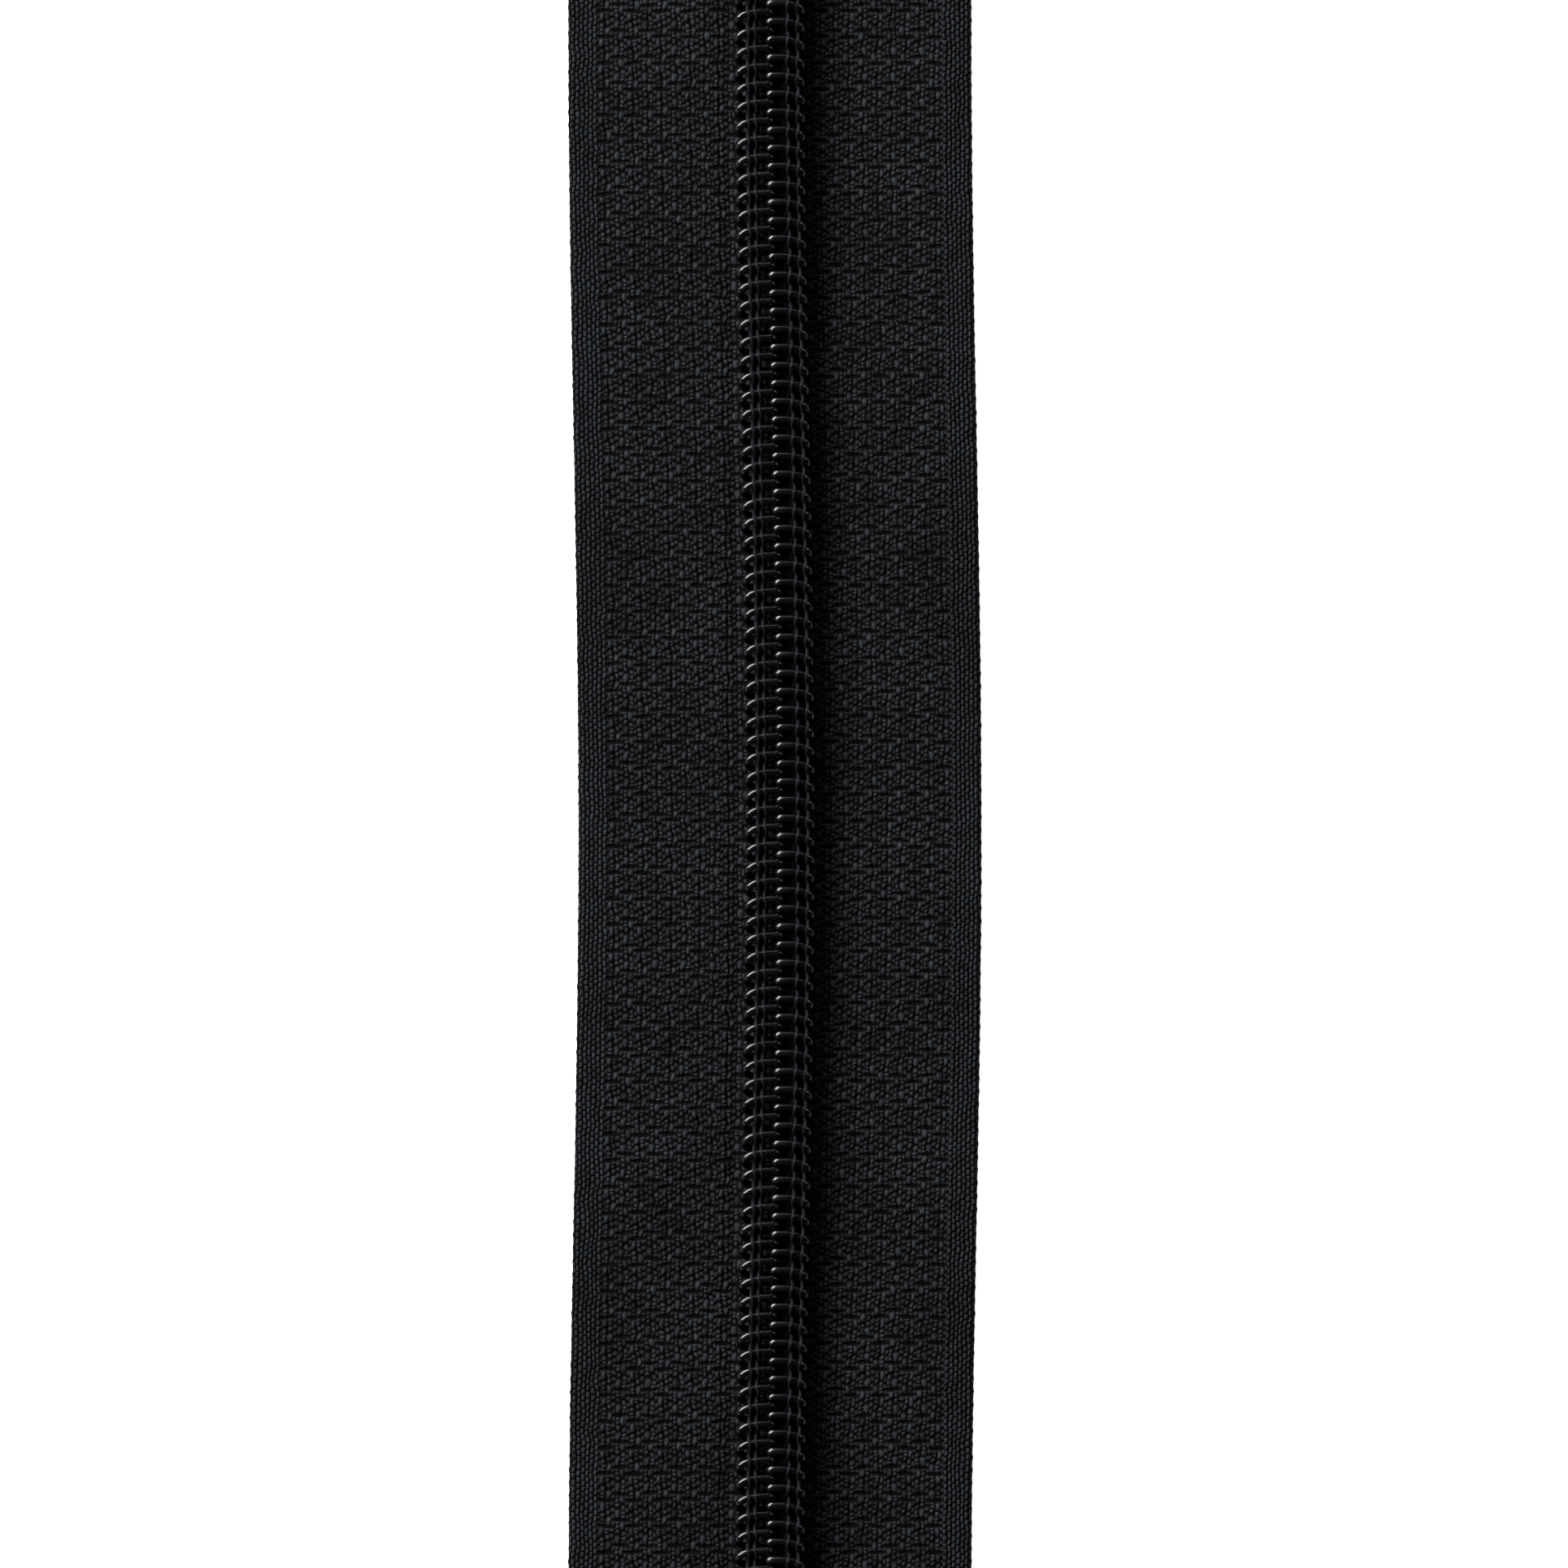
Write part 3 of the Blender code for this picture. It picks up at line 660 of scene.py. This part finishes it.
def twisted(path, strands, offset, radius, sides, turns_per_metre):
    """Strands wound round a path, joined in one mesh's points and faces."""
    path = np.asarray(path, float)
    step = np.linalg.norm(np.diff(path, axis=0), axis=1)
    length = np.concatenate([[0], np.cumsum(step)])
    along = np.gradient(path, axis=0)
    along /= np.linalg.norm(along, axis=1)[:, None]
    side = np.cross(along, (1.0, 0.0, 0.0))
    side /= np.linalg.norm(side, axis=1)[:, None]
    other = np.cross(along, side)
    points, faces, first = [], [], 0
    for k in range(strands):
        angle = length * turns_per_metre * 2 * math.pi + k * 2 * math.pi / strands
        strand = path + offset * (side * np.cos(angle)[:, None] + other * np.sin(angle)[:, None])
        more, round_it = tube(strand, radius, sides, first)
        points.append(more)
        faces += round_it
        first += len(more)
    return np.vstack(points), faces


def needle_path(x, shift):
    """A row of stitches: over each upper leg of the coil, and down towards the cord between two."""
    y = np.arange(COIL_LOW_Y, COIL_HIGH_Y, PITCH / 12)
    leg_slope = 0.10 * MM * np.clip((x - 1.0 * MM) / MM, 0, 2)
    phase = 2 * math.pi * (y - COIL_HIGH_Y + shift + leg_slope) / PITCH
    wave = 0.5 + 0.5 * np.cos(phase)
    lean = 0.06 * MM * np.sin(phase)
    return np.column_stack([x + lean, y, STITCH_UNDER + (STITCH_OVER - STITCH_UNDER) * wave**0.8])


def make_needle_thread(name, side, row, material):
    path = placed(needle_path(STITCH_ROWS[name][row], half_pitch_left(side)), side)
    points, faces = twisted(path, *NEEDLE_TWIST)
    obj = mesh_object(f"needle_stitches_{row}_{name}", points, faces)
    obj.data.materials.append(material)
    return chain_piece(obj, [f"needle_thread_{row}_{name}"])


def make_looper_thread(name, side, row, material):
    """The chain of loops that the needle threads are locked with, on the tape's back."""
    along = np.arange(COIL_LOW_Y, COIL_HIGH_Y, PITCH / 16)
    angle = 2 * math.pi * along / PITCH
    x = BACK_ROWS[row] + LOOP_WIDTH * np.cos(angle)
    y = along + LOOP_OVERLAP * np.sin(angle)
    z = LOOPER_Z + LOOPER_RISE * np.sin(2 * angle)
    path = placed(np.column_stack([x, y, z]), side)
    points, faces = tube(path, LOOPER_RADIUS, LOOPER_SIDES)
    obj = mesh_object(f"looper_chain_{row}_{name}", points, faces)
    obj.data.materials.append(material)
    return chain_piece(obj, [f"looper_thread_{row}_{name}"])


def make_filler_cord(name, side, material):
    """Three soft strands twisted together inside the coil, and pressed flat by its legs."""
    y = np.arange(COIL_LOW_Y, COIL_HIGH_Y, CORD_STEP)
    path = np.column_stack([np.full_like(y, CORD_X), y, np.full_like(y, CORD_Z)])
    points, faces = twisted(path, *CORD_TWIST)
    points[:, 2] = CORD_Z + (points[:, 2] - CORD_Z) * CORD_FLATTENING
    obj = mesh_object(f"laid_cord_{name}", placed(points, side), faces)
    obj.data.materials.append(material)
    return chain_piece(obj, [f"filler_cord_{name}"])


# ---------------------------------------------------------------- metal


def rounded_copy(node, body, material, width, name):
    """A copy of the CAD piece with its edges rounded over."""
    weld, flat, sharp = 0.0005 * MM, math.radians(2.0), math.radians(28.0)
    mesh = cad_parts[node].data.copy()
    mesh.name = name
    shape = bmesh.new()
    shape.from_mesh(mesh)
    bmesh.ops.remove_doubles(shape, verts=shape.verts, dist=weld)
    bmesh.ops.dissolve_limit(shape, angle_limit=flat, verts=shape.verts, edges=shape.edges)
    shape.to_mesh(mesh)
    shape.free()
    obj = bpy.data.objects.new(name, mesh)
    bpy.context.scene.collection.objects.link(obj)
    obj.data.materials.clear()
    obj.data.materials.append(material)
    bevel = obj.modifiers.new("edges", "BEVEL")
    bevel.width = width
    bevel.segments = 3
    bevel.limit_method = "ANGLE"
    bevel.angle_limit = sharp
    weighted = obj.modifiers.new("flat_faces", "WEIGHTED_NORMAL")
    weighted.mode = "FACE_AREA"
    weighted.weight = 90
    mesh.shade_smooth()
    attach(obj, body)
    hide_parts(node)
    return obj


def make_metal():
    enamel, crimped, steel = (metal_material(name, *finish) for name, finish in METALS.items())
    for node, width in (("slider_body", 0.16 * MM), ("slider_crown", 0.12 * MM)):
        rounded_copy(node, "slider", enamel, width, f"{node}_cast")
    rounded_copy("pull_tab", "pull", enamel, 0.22 * MM, "pull_tab_cast")
    for name in SIDES:
        stop, side_body, clip = f"top_stop_{name}", f"stringer_{name}", f"top_clip_{name}"
        rounded_copy(stop, side_body, crimped, 0.10 * MM, clip)
    rounded_copy("bottom_stop", "bottom_end", crimped, 0.12 * MM, "bottom_clip")
    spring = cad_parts["locking_spring"].data.materials
    spring.clear()
    spring.append(steel)


# ---------------------------------------------------------------- stage


def make_floor():
    """A plain white floor just under the zipper."""
    n = Nodes("pale_floor")
    place = n.add("ShaderNodeTexCoord").outputs["Object"]
    darker, lighter, white = (0.84, 0.84, 0.84, 1), (0.86, 0.86, 0.86, 1), (1, 1, 1, 1)
    n.link(n.mix(n.noise(place, 3.0), darker, lighter), "Base Color")
    n.set(Roughness=0.9, Specular_IOR_Level=0.0, Emission_Color=white, Emission_Strength=0.92)
    half, level = 3.0, -0.1 * MM
    corners = [(-half, -half, level), (half, -half, level), (half, half, level), (-half, half, level)]
    floor = mesh_object("floor", corners, [(0, 1, 2, 3)], smooth=False)
    floor.data.materials.append(n.material)


def softbox(name, place, size, power, colour):
    light = bpy.data.lights.new(name, "AREA")
    light.shape = "RECTANGLE"
    light.size, light.size_y = size
    light.energy = power
    light.color = colour
    obj = bpy.data.objects.new(name, light)
    obj.location = place
    obj.rotation_euler = (-Vector(place)).to_track_quat("-Z", "Y").to_euler()
    bpy.context.scene.collection.objects.link(obj)


def make_world():
    """A dim room that the camera sees as plain white."""
    world = bpy.data.worlds.new("studio")
    world.use_nodes = True
    tree = world.node_tree
    room = tree.nodes["Background"]
    room.inputs["Color"].default_value = ROOM_COLOUR
    room.inputs["Strength"].default_value = ROOM_STRENGTH
    backdrop = tree.nodes.new("ShaderNodeBackground")
    backdrop.inputs["Color"].default_value = (1, 1, 1, 1)
    rays = tree.nodes.new("ShaderNodeLightPath")
    mix = tree.nodes.new("ShaderNodeMixShader")
    tree.links.new(rays.outputs["Is Camera Ray"], mix.inputs[0])
    tree.links.new(room.outputs[0], mix.inputs[1])
    tree.links.new(backdrop.outputs[0], mix.inputs[2])
    tree.links.new(mix.outputs[0], tree.nodes["World Output"].inputs["Surface"])
    bpy.context.scene.world = world


def make_camera():
    """Straight down on the closed chain, with its top end upwards in the view."""
    distance, view_width, sensor = 0.80, 124.5 * MM, 36.0
    middle_x, tape_z = 1.13 * MM, 2.0 * MM
    camera = bpy.data.cameras.new("camera")
    camera.sensor_width = sensor
    camera.lens = sensor * distance / view_width
    obj = bpy.data.objects.new("camera", camera)
    obj.location = (middle_x, 0.0, distance + tape_z)
    bpy.context.scene.collection.objects.link(obj)
    bpy.context.scene.camera = obj


def main():
    fabric, nylon = fabric_material(), nylon_material()
    thread, cord = thread_material(), cord_material()
    for name, side in SIDES.items():
        tape = make_tape(name, side, fabric)
        make_coil(name, side, nylon)
        make_filler_cord(name, side, cord)
        for row in ("inner", "outer"):
            make_needle_thread(name, side, row, thread)
            make_looper_thread(name, side, row, thread)
    make_metal()
    make_floor()
    for name, settings in SOFTBOXES.items():
        softbox(name, *settings)
    make_world()
    make_camera()
    bpy.context.scene.view_settings.view_transform = "Standard"


main()
